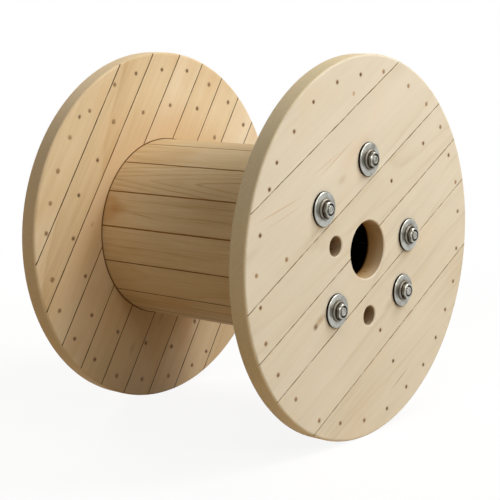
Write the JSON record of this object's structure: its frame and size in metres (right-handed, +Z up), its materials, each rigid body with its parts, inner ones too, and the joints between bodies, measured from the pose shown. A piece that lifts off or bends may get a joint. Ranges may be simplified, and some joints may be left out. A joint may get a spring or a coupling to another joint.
{
  "type": "wooden cable drum",
  "caption": "Wooden cable drum: round flanges of crossed boards on a hollow barrel of staves, clamped by tie rods with large washers, with an arbor bore and drive-pin holes.",
  "frame": {"origin": "centre of the drum, on the arbor axis midway between the flanges", "axes": "+Y along the arbor axis from the near flange to the far one, +Z up, +X to the right when looking along +Y"},
  "size_m": [0.5, 0.409, 0.5],
  "materials": {
    "outer_boards": "sawn and sanded pine, pale cream, unfinished",
    "inner_boards": "sawn pine, slightly warmer, unfinished",
    "staves": "planed pine, warm tan, unfinished",
    "zinc_plated_steel": "bright zinc plate",
    "nail_steel": "dull bare steel"
  },
  "bodies": {
    "root": {"near_outer_board_1": "outer_boards", "near_outer_board_2": "outer_boards", "near_outer_board_3": "outer_boards", "near_outer_board_4": "outer_boards", "near_outer_board_5": "outer_boards", "near_outer_board_6": "outer_boards", "far_outer_board_1": "outer_boards", "far_outer_board_2": "outer_boards", "far_outer_board_3": "outer_boards", "far_outer_board_4": "outer_boards", "far_outer_board_5": "outer_boards", "far_outer_board_6": "outer_boards", "near_inner_board_1": "inner_boards", "near_inner_board_2": "inner_boards", "near_inner_board_3": "inner_boards", "near_inner_board_4": "inner_boards", "near_inner_board_5": "inner_boards", "near_inner_board_6": "inner_boards", "near_inner_board_7": "inner_boards", "near_inner_board_8": "inner_boards", "near_inner_board_9": "inner_boards", "near_inner_board_10": "inner_boards", "far_inner_board_1": "inner_boards", "far_inner_board_2": "inner_boards", "far_inner_board_3": "inner_boards", "far_inner_board_4": "inner_boards", "far_inner_board_5": "inner_boards", "far_inner_board_6": "inner_boards", "far_inner_board_7": "inner_boards", "far_inner_board_8": "inner_boards", "far_inner_board_9": "inner_boards", "far_inner_board_10": "inner_boards", "stave_1": "staves", "stave_2": "staves", "stave_3": "staves", "stave_4": "staves", "stave_5": "staves", "stave_6": "staves", "stave_7": "staves", "stave_8": "staves", "stave_9": "staves", "stave_10": "staves", "stave_11": "staves", "stave_12": "staves", "stave_13": "staves", "stave_14": "staves", "stave_15": "staves", "stave_16": "staves", "tie_rods": "zinc_plated_steel", "washers": "zinc_plated_steel", "nuts": "zinc_plated_steel", "near_outer_nails": "nail_steel", "far_outer_nails": "nail_steel", "near_inner_nails": "nail_steel", "far_inner_nails": "nail_steel"}
  },
  "joints": []
}
